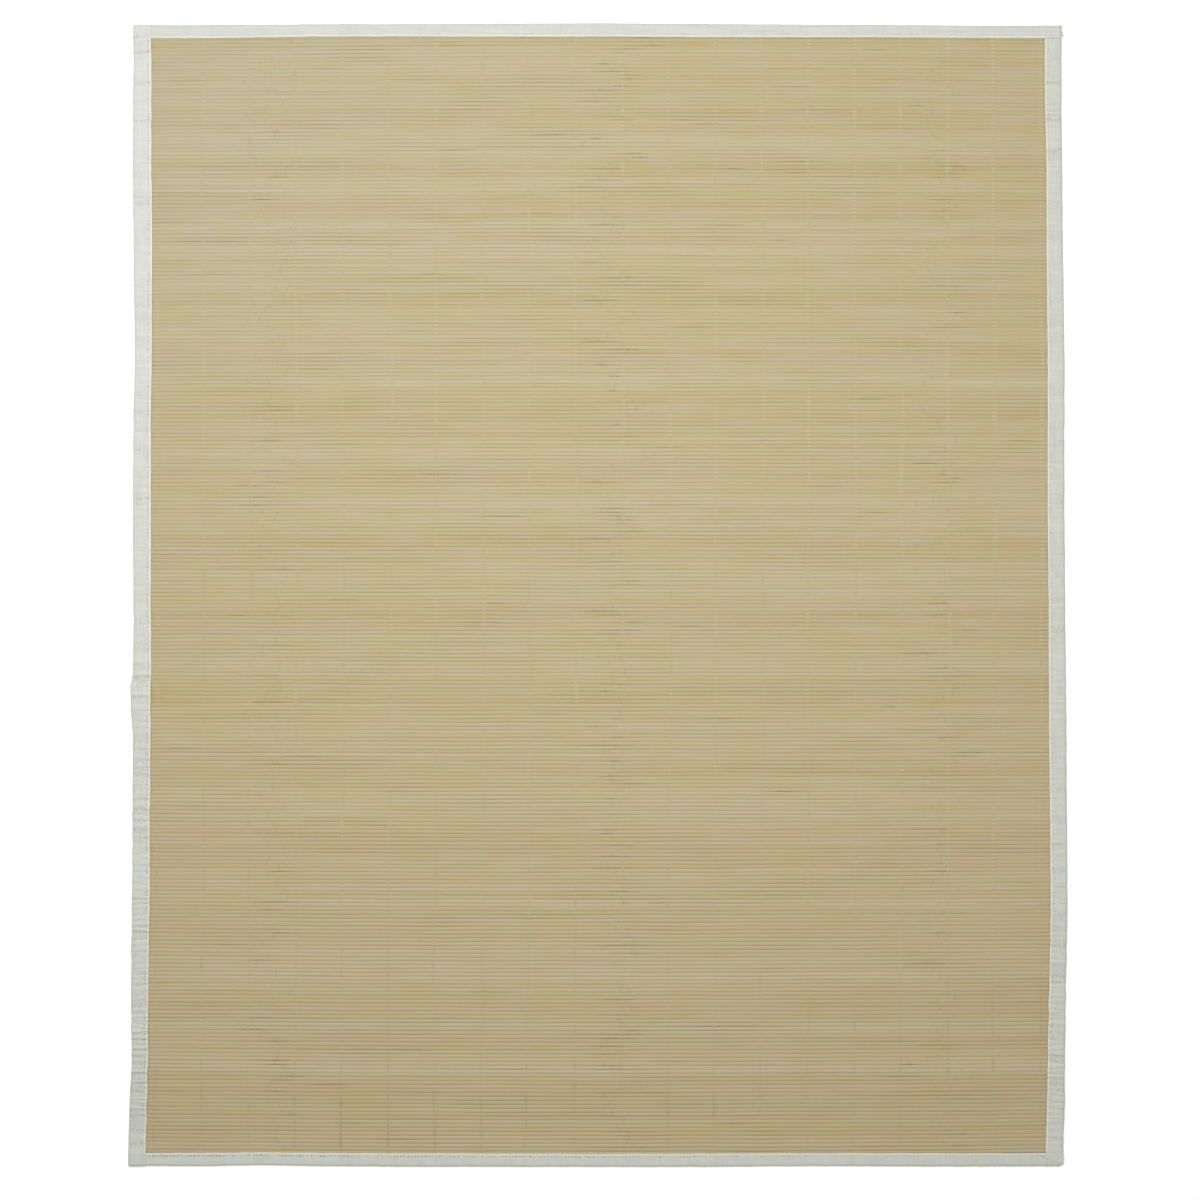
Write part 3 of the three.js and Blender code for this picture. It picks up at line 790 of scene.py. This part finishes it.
# A tape's mesh has so many stations along it, and its hem reaches a little past its solid's. Its
# ends are given as the sign of the end, the tape that it meets there, whether it laps over that
# tape, and how much of the corner is folded away. Its creases, and how it looks along its length,
# are pairs of a place and a strength, with only one pair where the look is even.
# One of these looks is painted light and shade, which makes a tape lighter or darker along its length
TAPES = (
    {
        "name": "left_tape",
        "node": "side_tape_left",
        "stations": 1150,
        "hem_reach": 0.0010,
        "ends": ((-1, "end_tape_near", True, 0), (1, "end_tape_far", True, 0)),
        "creases": (
            (0.729, 0.25), (0.720, 0.45), (0.712, 0.35), (0.7065, 0.3), (0.699, 1.0),
            (0.659, 0.28), (0.636, 0.2), (0.611, 0.28), (0.556, 0.2), (0.512, 0.25),
            (0.503, 0.3), (0.440, 0.3), (0.371, 0.25), (0.352, 0.2), (0.290, 0.2),
            (0.233, 0.25), (0.187, 0.2), (0.124, 0.25), (0.060, 0.2), (0.012, 0.25),
            (-0.037, 0.2), (-0.106, 0.5), (-0.131, 0.35), (-0.200, 0.3), (-0.214, 0.3),
            (-0.223, 0.3), (-0.231, 0.3), (-0.263, 0.3), (-0.277, 0.35), (-0.291, 0.3),
            (-0.303, 0.35), (-0.312, 0.3), (-0.350, 0.25), (-0.392, 0.25), (-0.428, 0.4),
            (-0.435, 0.4), (-0.485, 0.4), (-0.527, 0.4), (-0.537, 0.4), (-0.549, 0.4),
            (-0.564, 0.45), (-0.574, 0.4), (-0.586, 0.4), (-0.596, 0.4), (-0.605, 0.5),
            (-0.617, 0.4), (-0.628, 0.45), (-0.641, 0.4), (-0.655, 0.4), (-0.672, 0.35),
            (-0.690, 0.3), (-0.707, 0.3),
        ),
        "puckers": (
            (0.72, 1.0), (0.0, 1.4), (-0.1, 1.8), (-0.4, 2.3), (-0.5, 3.3), (-0.65, 3.3),
            (-0.72, 0.8),
        ),
        "needle_marks": ((0, 0.55),),
        "painted_lighting": ((0.736, 0.11), (0.2, 0.06), (-0.3, 0.02), (-0.736, -0.02)),
        "greenness": ((0.736, 0.66), (0.2, 0.82), (-0.3, 1.02), (-0.736, 1.12)),
        "ribbed": ((0, 0.15),),
        "streaked": ((0, 0.16),),
    },
    {
        "name": "right_tape",
        "node": "side_tape_right",
        "stations": 1100,
        "hem_reach": 0.0,
        "ends": ((-1, "end_tape_near", False, CLIPPED_CORNER), (1, "end_tape_far", False, 0)),
        "creases": (
            (0.690, 0.15), (0.667, 0.25), (0.660, 0.60), (0.632, 0.3), (0.624, 0.3),
            (0.618, 0.35), (0.612, 0.45), (0.571, 0.60), (0.521, 0.1), (0.470, 0.1),
            (0.402, 0.15), (0.377, 0.1), (0.310, 0.2), (0.262, 0.1), (0.204, 0.15),
            (0.171, 0.15), (0.118, 0.1), (0.052, 0.15), (-0.044, 0.2), (-0.141, 0.15),
            (-0.236, 0.2), (-0.322, 0.15), (-0.377, 0.2), (-0.452, 0.2), (-0.491, 0.25),
            (-0.499, 0.2), (-0.539, 0.2), (-0.554, 0.15), (-0.564, 0.15), (-0.593, 0.2),
            (-0.615, 0.2), (-0.654, 0.2), (-0.678, 0.15), (-0.700, 0.15),
        ),
        "puckers": (
            (0.72, 0.6), (0.63, 1.2), (0.5, 1.1), (-0.35, 1.5), (-0.45, 2.2), (-0.65, 2.6),
            (-0.72, 0.8),
        ),
        "needle_marks": ((0.736, 0.3), (-0.736, 0.4)),
        "painted_lighting": ((0.736, 0.01), (-0.736, 0.0)),
        "greenness": ((0.736, 1.06), (-0.736, 1.08)),
        "ribbed": ((0, 0.13),),
        "streaked": ((0, 0.12),),
    },
    {
        "name": "far_tape",
        "node": "end_tape_far",
        "stations": 700,
        "hem_reach": 0.0006,
        "ends": ((-1, "side_tape_left", False, 0), (1, "side_tape_right", True, 0)),
        "creases": (
            (-0.541, 0.05), (-0.430, 0.05), (-0.322, 0.08), (-0.121, 0.05), (0.143, 0.06),
            (0.262, 0.05), (0.387, 0.08), (0.541, 0.1),
        ),
        "puckers": ((0, 0.5),),
        "needle_marks": ((0, 0.2),),
        "painted_lighting": ((0.6, 0.01), (-0.6, 0.04)),
        "greenness": ((0.6, 0.78), (-0.6, 0.68)),
        "ribbed": ((0, 0.05),),
        "streaked": ((0.6, 0.42), (0.45, 0.30), (-0.6, 0.26)),
    },
    {
        "name": "near_tape",
        "node": "end_tape_near",
        "stations": 700,
        "hem_reach": -0.0006,
        "ends": ((-1, "side_tape_left", False, 0), (1, "side_tape_right", True, CLIPPED_CORNER)),
        "creases": (
            (-0.520, 0.06), (-0.401, 0.08), (-0.287, 0.05), (-0.066, 0.06), (0.071, 0.05),
            (0.188, 0.08), (0.331, 0.06), (0.442, 0.1), (0.508, 0.12), (0.560, 0.15),
        ),
        "puckers": ((0, 0.5),),
        "needle_marks": ((0.6, 0.3), (0.35, 0.45), (0.0, 0.7), (-0.6, 1.1)),
        "painted_lighting": ((0, -0.03),),
        "greenness": ((0, 1.18),),
        "ribbed": ((0, 0.10),),
        "streaked": ((0, 0.12),),
    },
)
# The fold across the near tape's right end, where its corner is folded away
CORNER_FOLD = {"place": 0.5839, "depth": 0.0005, "slant": 2.0, "curve": 0.0, "width": 0.0040}


def tape_end(tape, end, neighbour, laps_over, clipped):
    """Where a tape ends, where it starts to climb its neighbour, and where its lower flap ends."""
    middle = tape["side"] * np.mean(outlines[tape["node"]][:, 1])
    outer, inner, under = outline_at(neighbour, middle)
    if laps_over:
        end_place, climb, trim = outer - CORNER_GAP, inner - CORNER_GAP, outer + 1
    else:
        end_place, climb, trim = outer - FOLD_DEPTH - CORNER_GAP, outer + 1, under - CORNER_GAP
    return {"end": end, "place": end_place, "climb": climb, "trim": trim, "clipped": clipped}


def new_tape(given):
    """All that settles one tape's shape, with what chance adds to its creases and gathers."""
    tape = dict(given)
    tape["along"], tape["side"] = TAPE_SOLIDS[tape["node"]]
    tape["ends"] = [tape_end(tape, *end) for end in tape["ends"]]
    count = len(tape["creases"])
    slants = rng.normal(0, 0.09, count)
    curves = rng.normal(0, 0.0006, count)
    tape["creases"] = [
        {
            "place": place,
            "depth": CREASE_DEPTH * strength,
            "slant": slant,
            "curve": curve,
            "width": CREASE_WIDTH,
        }
        for (place, strength), slant, curve in zip(tape["creases"], slants, curves)
    ]
    tape["waver"] = smooth_noise(2, 300, along=1, spread=0.00013)
    tape["slow_waves"] = smooth_noise(1, 110, along=1)[0]
    tape["gather_edges"] = -0.75 + np.cumsum(rng.uniform(0.0045, 0.0095, GATHERS))
    tape["gather_heights"] = rng.uniform(0.1, 1.0, GATHERS)
    tape["gather_slants"] = rng.normal(0, 0.10, GATHERS)
    return tape


def over_length(values, place):
    """Values spread evenly over a tape's length, at places along it."""
    return np.interp(place, np.linspace(-NOISE_REACH, NOISE_REACH, len(values)), values)


def strength_at(tape, name, place):
    """How strongly a tape shows what the name says, at places along it."""
    at, strengths = np.array(tape[name]).T
    return np.interp(-place, -at, strengths)


def hump(distance, reach):
    """A soft hump of height 1 that dies away over a reach."""
    return np.exp(-((distance / reach) ** 2))


def tape_edges(tape, place):
    """How far from the rug's middle a tape's outer face and its flaps' inner edges lie."""
    outer, inner, under = outline_at(tape["node"], place)
    strength = 0.6 + 0.4 * strength_at(tape, "puckers", place)
    for crease in tape["creases"]:
        outer = outer - CREASE_PULL * crease["depth"] * hump(place - crease["place"], 0.004)
    inner = inner - tape["hem_reach"] + strength * over_length(tape["waver"][0], place)
    outer = outer + strength * over_length(tape["waver"][1], place)
    for end in tape["ends"]:
        outer = outer - np.clip(end["end"] * place - end["place"] + end["clipped"], 0, None)
        under = np.where(end["end"] * place > end["trim"], outer - FOLD_DEPTH - TRIMMED_FLAP, under)
    return outer, inner, under


def gathers(tape, place, from_edge):
    """The soft bulges that the seam draws the cloth into, each from 0 to its own height."""
    numbers = np.arange(GATHERS)
    slant = np.interp(
        np.interp(place, tape["gather_edges"], numbers), numbers, tape["gather_slants"]
    )
    skewed = place - slant * (from_edge - FLAP_MIDDLE)
    count = np.interp(skewed, tape["gather_edges"], numbers)
    bulge = np.abs(np.sin(np.pi * count)) ** 0.9
    return bulge * tape["gather_heights"][np.floor(count).astype(int)]


def from_crease(crease, place, from_edge):
    """How far along the tape a point lies from a crease, which slants and bends on its way."""
    off_middle = from_edge - FLAP_MIDDLE
    middle = crease["place"] + crease["slant"] * off_middle
    return place - (middle + crease["curve"] * (off_middle / FLAP_MIDDLE) ** 2)


def fold_depth(tape, place, from_edge):
    """How far the cloth lies down in a fold of its surface, from 0 on a crest to 1 in a crease."""
    low = 1 - gathers(tape, place, from_edge)
    depth = 0.36 * np.clip(strength_at(tape, "puckers", place), 0, 2.5) * low**3
    for crease in tape["creases"]:
        away = from_crease(crease, place, from_edge)
        depth += crease["depth"] / DEEPEST_CREASE * hump(away, 0.8 * crease["width"])
    return np.clip(depth, 0, 1)


def top_height(tape, place, across, inner):
    """How high the middle of the cloth of a tape's top flap lies."""
    from_edge = across - inner
    from_seam = from_edge - SEAM_FROM_EDGE
    near_seam = 0.65 + 0.35 * np.exp(-np.abs(from_seam) / SEAM_PULL_REACH)
    height = SLOW_WAVES * over_length(tape["slow_waves"], place)
    height += GATHER_HEIGHT * near_seam * gathers(tape, place, from_edge)
    height = height * strength_at(tape, "puckers", place)
    for crease in tape["creases"]:
        away = from_crease(crease, place, from_edge) / crease["width"]
        height += crease["depth"] * (0.5 * hump(away - 1.9, 1.2) - hump(away, 1))
    height = np.maximum(height, -DEEPEST_CREASE)
    for end in tape["ends"]:
        past_ramp_foot = end["end"] * place - end["climb"] + CORNER_RAMP
        height += CORNER_LIFT * eased(past_ramp_foot / CORNER_RAMP)
    height -= SEAM_DIP * hump(from_seam, SEAM_DIP_REACH)
    height -= ROLLED_EDGE * np.clip(1 - from_edge / ROLLED_EDGE_WIDTH, 0, 1)
    return TOP_FLAP_Z + height


def flap_places(cuts, edge, fold_start, number):
    """Crosswise places of a flap's cuts, counted from its inner edge."""
    offset, share = np.array(cuts).T[:, np.clip(number, 0, len(cuts) - 1)]
    narrowed = np.minimum(1, (fold_start - edge) / (2 * SEAM_FROM_EDGE))
    hem = edge + offset * narrowed
    return hem + (fold_start - hem) * share


def station_places(tape):
    """Places along a tape for its crosswise rows of points, closest at the creases."""
    low, high = (end["end"] * end["place"] for end in tape["ends"])
    fine = np.linspace(low, high, 8000)
    density = 1 + 1.5 * strength_at(tape, "puckers", fine)
    for crease in tape["creases"]:
        density += 4 * hump(fine - crease["place"], 0.0035 + 0.010 * abs(crease["slant"]))
    for end in tape["ends"]:
        density += 4 * (np.abs(end["end"] * fine - end["climb"]) < 2 * CORNER_RAMP)
    total = np.cumsum(density)
    return np.interp(np.linspace(total[0], total[-1], tape["stations"] + 1), total, fine)


def lay_along(mesh, tape, place, across, z):
    """Puts a mesh's points along a tape, so far out from the rug's middle and so high."""
    out = tape["side"] * across
    x, y = (out, place) if tape["along"] == 1 else (place, out)
    move_points(mesh, x, y, z)


def turn_faces_out(mesh):
    """Turns a mesh's faces outwards."""
    shape = bmesh.new()
    shape.from_mesh(mesh)
    bmesh.ops.recalc_face_normals(shape, faces=shape.faces)
    shape.to_mesh(mesh)
    shape.free()


def tape_cloth(tape):
    """A tape folded round its edge, as one sheet with the cloth's thickness."""
    top_steps = len(TOP_CUTS)
    steps = top_steps + FOLD_STEPS + len(UNDER_CUTS)
    cloth = bmesh.new()
    bmesh.ops.create_grid(cloth, x_segments=steps, y_segments=tape["stations"], size=0.5)
    mesh = mesh_of(cloth, tape["name"])
    points = mesh_points(mesh)
    step = np.rint((points[:, 0] + 0.5) * steps).astype(int)
    row = np.rint((points[:, 1] + 0.5) * tape["stations"]).astype(int)
    place = station_places(tape)[row]
    outer, inner, under = tape_edges(tape, place)
    fold_start = outer - FOLD_DEPTH
    turn = np.clip((step - top_steps) / FOLD_STEPS, 0, 1) * np.pi
    half_cloth = CLOTH_THICKNESS / 2
    fold = outer - half_cloth - (FOLD_DEPTH - half_cloth) * (1 - np.sin(turn))
    beneath = step > top_steps + FOLD_STEPS
    top_places = flap_places(TOP_CUTS, inner, fold_start, step)
    under_places = flap_places(UNDER_CUTS, under, fold_start, steps - step)
    across = np.where(step < top_steps, top_places, np.where(beneath, under_places, fold))
    top_z = top_height(tape, place, across, inner)
    z = (top_z + UNDER_FLAP_Z) / 2 + (top_z - UNDER_FLAP_Z) / 2 * np.cos(turn)
    lay_along(mesh, tape, place, across, z)
    fold_length = np.clip(step - top_steps, 0, FOLD_STEPS) * FOLD_STEP_LENGTH
    girth = np.where(beneath, 2 * fold_start - across, across) - inner + fold_length
    corners = np.empty(len(mesh.loops), int)
    mesh.loops.foreach_get("vertex_index", corners)
    cloth_map = mesh.uv_layers.new(name="cloth")
    cloth_map.uv.foreach_set("vector", np.stack([place, girth], axis=1)[corners].ravel())
    for look in ("needle_marks", "painted_lighting", "greenness", "ribbed", "streaked"):
        add_values(mesh, look, strength_at(tape, look, place))
    lapped = np.zeros(len(points))
    for end in tape["ends"]:
        lapped += np.clip((end["end"] * place - end["climb"]) / CORNER_RAMP + 0.5, 0, 1)
    # the painted highlight on the hem is weaker where the tape climbs over its neighbour
    add_values(mesh, "hem_highlight_share", 1 - 0.8 * lapped)
    # how deep each point lies in a fold, which the canvas darkens as painted shade
    add_values(mesh, "in_fold", fold_depth(tape, place, across - inner) * (1 - 0.5 * turn / np.pi))
    turn_faces_out(mesh)
    mesh.shade_smooth()
    piece = new_piece(tape["name"], mesh, canvas)
    thickness = piece.modifiers.new("thickness", "SOLIDIFY")
    thickness.thickness = CLOTH_THICKNESS
    thickness.offset = 0
    thickness.use_even_offset = True
    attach(piece, "root")
    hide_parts(tape["node"])


STITCH_PITCH = 0.0045
NEEDLE_MARK = 0.0016  # how far the cloth is dimpled round each hole of the needle
HEM_HIGHLIGHT_WIDTH = 0.0028

canvas, canvas_tree, canvas_shader = new_material("canvas", roughness=0.92, specular=0.15)
needle_marks, painted_lighting, greenness, ribbed, streaked, hem_highlight_share, in_fold = point_values(
    canvas_tree, "needle_marks", "painted_lighting", "greenness", "ribbed", "streaked", "hem_highlight_share", "in_fold"
)
cloth_place = place_node(canvas_tree, "ShaderNodeUVMap", uv_map="cloth").outputs[0]
along_cloth, from_hem, _ = place_node(canvas_tree, "ShaderNodeSeparateXYZ", cloth_place).outputs


# The canvas's threads, 0.7 mm apart
weave = maths("MAXIMUM", *(side_by_side(cloth_place, 440.0, 0.6, way) for way in "XY"))
mottle = blotches(cloth_place, 60.0, 3.0, 0.6)
slubs = blotches(stretched(cloth_place, (70, 900, 1)), 1.0, 2.0, 0.5)
ribs = blotches(stretched(cloth_place, (420, 40, 1)), 1.0, 2.0, 0.5)
streaks = blotches(stretched(cloth_place, (12, 430, 1)), 1.0, 2.0, 0.5)
tints = blotches(cloth_place, 55.0, 2.0, 0.6)
# Painted shade in the creases and between the gathers, broken up into stronger and weaker patches
crease_shade_strength = ranged(blotches(cloth_place, 260.0, 2.0, 0.6), 0.35, 0.65, -0.03, -0.28)

# The needle's holes are not quite evenly spaced, and pucker the cloth most where the seam pulls
stitches = maths("MULTIPLY_ADD", blotches(cloth_place, 70.0, 1.0, 0.5), 0.006, along_cloth)
from_hole = maths("SUBTRACT", maths("FRACT", maths("DIVIDE", stitches, STITCH_PITCH)), 0.5)
hole_x = maths("MULTIPLY", from_hole, STITCH_PITCH)
hole_y = maths("SUBTRACT", from_hem, SEAM_FROM_EDGE)
hole_distance = maths("MULTIPLY_ADD", hole_x, hole_x, maths("MULTIPLY", hole_y, hole_y))
hole = ranged(maths("SQRT", hole_distance), 0.0, NEEDLE_MARK, 1.0, 0.0)
strain = maths("MULTIPLY_ADD", needle_marks, 0.10, blotches(cloth_place, 150.0, 2.0, 0.6))
pull = ranged(strain, 0.50, 0.66, 0.05, 1.0)
# Each needle hole dents the cloth's relief, and the dimple round it is painted darker as painted shade
hole_dimple_and_shade = maths("MULTIPLY", maths("MULTIPLY", hole, needle_marks), pull)
from_seam = maths("ABSOLUTE", maths("SUBTRACT", from_hem, SEAM_FROM_EDGE + 0.0007))
seam_line = maths("MULTIPLY", ranged(from_seam, 0.0003, 0.0018, 1.0, 0.0), pull)
seam_line = maths("MULTIPLY", seam_line, needle_marks)
# Painted highlight along the rolled inner edge of the hem, paler and yellower than the rest of the
# cloth
hem = maths("MULTIPLY", ranged(from_hem, HEM_HIGHLIGHT_WIDTH, 0.0, 0.0, 0.26), hem_highlight_share)

cloth_brightness = maths("MULTIPLY_ADD", weave, 0.06, 0.812)
for pattern, amount in (
    (mottle, 0.15),
    (slubs, 0.13),
    (maths("SUBTRACT", ribs, 0.5), ribbed),
    (maths("SUBTRACT", streaks, 0.5), streaked),
    # painted highlight along the hem
    (hem, 1.0),
    # painted light and shade along each tape
    (painted_lighting, 1.0),
    # painted shade in the creases
    (in_fold, crease_shade_strength),
    # painted shade in the dimples round the needle holes
    (hole_dimple_and_shade, -0.8),
    (seam_line, -0.06),
):
    cloth_brightness = maths("MULTIPLY_ADD", pattern, amount, cloth_brightness)
tint = maths("ADD", hem, maths("MULTIPLY_ADD", tints, 0.9, 0.05))
cloth_shade = colour_ramp(
    maths("MULTIPLY_ADD", seam_line, -0.3, tint),
    (0.0, (188, 198, 193)),
    (0.5, (195, 196, 188)),
    (1.0, (197, 199, 172)),
)
add_colour(canvas_shader, 0.5, greenness, cloth_brightness, cloth_shade)
add_relief(canvas_shader, maths("MULTIPLY_ADD", hole_dimple_and_shade, -2.0, weave), 0.6, 0.0002)

tapes = [new_tape(given) for given in TAPES]
tapes[-1]["creases"].append(CORNER_FOLD)
for tape in tapes:
    tape_cloth(tape)


# Seams
# One row of lockstitch in pale thread holds each tape, 4 mm from its inner edge. The needle goes
# through both flaps and the slats between, so the same row shows on the rug's underside.
STITCH_LENGTH = 0.0034
STITCH_WIDTH = 0.0006
STITCH_SINK = 0.00010  # how far a stitch beds into the cloth
SEAM_END_GAP = 0.004

seam_thread, seam_colour = thread_material("seam_thread", 1500)
seam_colour.default_value = linear(200, 201, 193)


def seam(tape, on_top):
    """One tape's row of stitches, bedded in its top or its lower flap."""
    name = "seam_" + ("over_" if on_top else "under_") + tape["name"]
    stitch = bmesh.new()
    bmesh.ops.create_uvsphere(stitch, u_segments=5, v_segments=4, radius=0.5)
    bmesh.ops.rotate(stitch, matrix=Euler((0, np.pi / 2, 0)).to_matrix(), verts=stitch.verts)
    low, high = (end["end"] * end["place"] for end in tape["ends"])
    first = np.ceil((low + SEAM_END_GAP) / STITCH_PITCH)
    last = np.floor((high - SEAM_END_GAP) / STITCH_PITCH)
    middles = np.arange(first, last + 1) * STITCH_PITCH
    mesh = repeated(stitch, name, len(middles))
    points = mesh_points(mesh).reshape(len(middles), -1, 3)
    place = middles[:, None] + points[:, :, 0] * STITCH_LENGTH
    outer, inner, under = tape_edges(tape, place)
    across = inner + SEAM_FROM_EDGE + points[:, :, 1] * STITCH_WIDTH
    if on_top:
        z = top_height(tape, place, across, inner) + CLOTH_THICKNESS / 2 - STITCH_SINK
        z = z + points[:, :, 2] * STITCH_WIDTH
    else:
        z = STITCH_SINK + points[:, :, 2] * 2 * STITCH_SINK
    lay_along(mesh, tape, place, across, z)
    turn_faces_out(mesh)
    mesh.shade_smooth()
    piece = new_piece(name, mesh, seam_thread)
    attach(piece, "root")
    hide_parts(tape["node"])


for tape in tapes:
    seam(tape, on_top=True)
    seam(tape, on_top=False)


# Loose threads
# The far tape's cut end frays at the right corner. Soft pale threads of its weave droop over the
# end, thinning to their tips. Two have pulled out farther, and their plies have opened.
LOOSE_THREADS = 13
LOOSE_LOW, LOOSE_HIGH = 0.7175, 0.7345  # between these places along the right edge
LOOSE_START_INSET = 0.0036
LOOSE_START_Z = 0.0069
LOOSE_THREAD_THICKNESS = 0.00040
LOOSE_THREAD_DROOP = 0.0026
PULLED_THREAD_THICKNESS = 0.0007
PULLED_THREAD_SPLAY = 2.0  # above 0 a thread's plies open towards its tip
PULLED_THREAD_BEND = -0.0024
PULLED_THREADS = [
    {"thread": 7, "length": 0.0094, "heading": -0.74, "droop": 0.0050},
    {"thread": 8, "length": 0.0100, "heading": -0.78, "droop": 0.0054},
]

loose_fibre = bmesh.new()
bmesh.ops.create_cone(
    loose_fibre, cap_ends=True, segments=4, radius1=0.5, radius2=0.2, depth=1
)
bmesh.ops.rotate(
    loose_fibre, matrix=Euler((0, np.pi / 2, 0)).to_matrix(), verts=loose_fibre.verts
)
bmesh.ops.translate(loose_fibre, vec=(0.5, 0, 0), verts=loose_fibre.verts)
cut_across(loose_fibre, (0.2, 0.4, 0.6, 0.8), (1, 0, 0))
fibre_mesh = repeated(loose_fibre, "loose_threads", LOOSE_THREADS)
fibre_points = mesh_points(fibre_mesh).reshape(LOOSE_THREADS, -1, 3)
share_out = fibre_points[:, :, 0]
fibre_start = np.linspace(LOOSE_LOW, LOOSE_HIGH, LOOSE_THREADS)[:, None]
fibre_length = rng.uniform(0.0040, 0.0062, (LOOSE_THREADS, 1))
fibre_heading = rng.normal(0, 0.30, (LOOSE_THREADS, 1))
fibre_bend = rng.normal(0, 0.0008, (LOOSE_THREADS, 1))
fibre_thickness = np.full((LOOSE_THREADS, 1), LOOSE_THREAD_THICKNESS)
fibre_droop = np.full((LOOSE_THREADS, 1), LOOSE_THREAD_DROOP)
fibre_splay = np.zeros((LOOSE_THREADS, 1))
for pulled in PULLED_THREADS:
    thread = pulled["thread"]
    fibre_length[thread] = pulled["length"]
    fibre_heading[thread] = pulled["heading"]
    fibre_droop[thread] = pulled["droop"]
    fibre_thickness[thread] = PULLED_THREAD_THICKNESS
    fibre_splay[thread] = PULLED_THREAD_SPLAY
    fibre_bend[thread] = PULLED_THREAD_BEND
fibre_x = outline_at("side_tape_right", fibre_start)[0] - LOOSE_START_INSET
fibre_x = fibre_x + share_out * fibre_length * np.cos(fibre_heading)
fibre_y = fibre_start + share_out * fibre_length * np.sin(fibre_heading) + fibre_bend * share_out**2
fibre_z = LOOSE_START_Z - fibre_droop * share_out**2.5
fibre_thickness = fibre_thickness * (1 + fibre_splay * share_out)
fibre_y = fibre_y + fibre_points[:, :, 1] * fibre_thickness
fibre_z = fibre_z + fibre_points[:, :, 2] * fibre_thickness
move_points(fibre_mesh, fibre_x, fibre_y, fibre_z)
fibre_mesh.shade_smooth()
loose_cotton, loose_colour = thread_material("loose_cotton", 2000)
loose_colour.default_value = linear(205, 208, 190)
loose_threads = new_piece("loose_threads", fibre_mesh, loose_cotton)
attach(loose_threads, "root")
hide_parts("end_tape_far")
